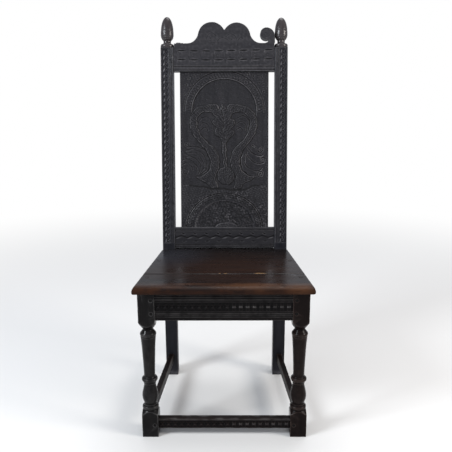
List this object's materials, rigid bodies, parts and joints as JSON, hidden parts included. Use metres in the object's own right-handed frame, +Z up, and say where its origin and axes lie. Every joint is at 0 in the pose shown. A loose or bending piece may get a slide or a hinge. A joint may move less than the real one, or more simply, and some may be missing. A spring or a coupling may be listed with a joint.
{
  "type": "wainscot chair",
  "caption": "Joined oak wainscot side chair: turned front legs, raked carved back with humped cresting, acorn finials and a plain board seat.",
  "frame": {"origin": "on the floor, under the middle of the whole chair's box", "axes": "+Z up, +X to the right of someone facing the chair, -Y the way the sitter faces"},
  "size_m": [0.4862, 0.5184, 1.1775],
  "materials": {
    "frame_oak": "near-black stained and waxed oak, satin",
    "turned_oak": "near-black stained and polished oak, satin gloss",
    "panel_oak": "near-black stained and waxed carved oak, satin",
    "seat_oak": "dark brown waxed oak, worn lighter at the nose, semi-gloss",
    "peg_oak": "dark oak, satin"
  },
  "bodies": {
    "root": {"left_back_post": "frame_oak", "right_back_post": "frame_oak", "left_finial": "turned_oak", "right_finial": "turned_oak", "crest_rail": "frame_oak", "lower_back_rail": "frame_oak", "back_panel": "panel_oak", "front_seat_board": "seat_oak", "rear_seat_board": "seat_oak", "front_seat_rail": "frame_oak", "rear_seat_rail": "frame_oak", "left_side_rail": "frame_oak", "right_side_rail": "frame_oak", "left_front_leg": "turned_oak", "right_front_leg": "turned_oak", "front_stretcher": "frame_oak", "left_side_stretcher": "frame_oak", "right_side_stretcher": "frame_oak", "front_rail_pegs": "peg_oak", "side_rail_pegs": "peg_oak", "rear_rail_pegs": "peg_oak", "lower_back_rail_pegs": "peg_oak", "crest_rail_pegs": "peg_oak", "stretcher_pegs": "peg_oak", "seat_pegs": "peg_oak"}
  },
  "joints": []
}
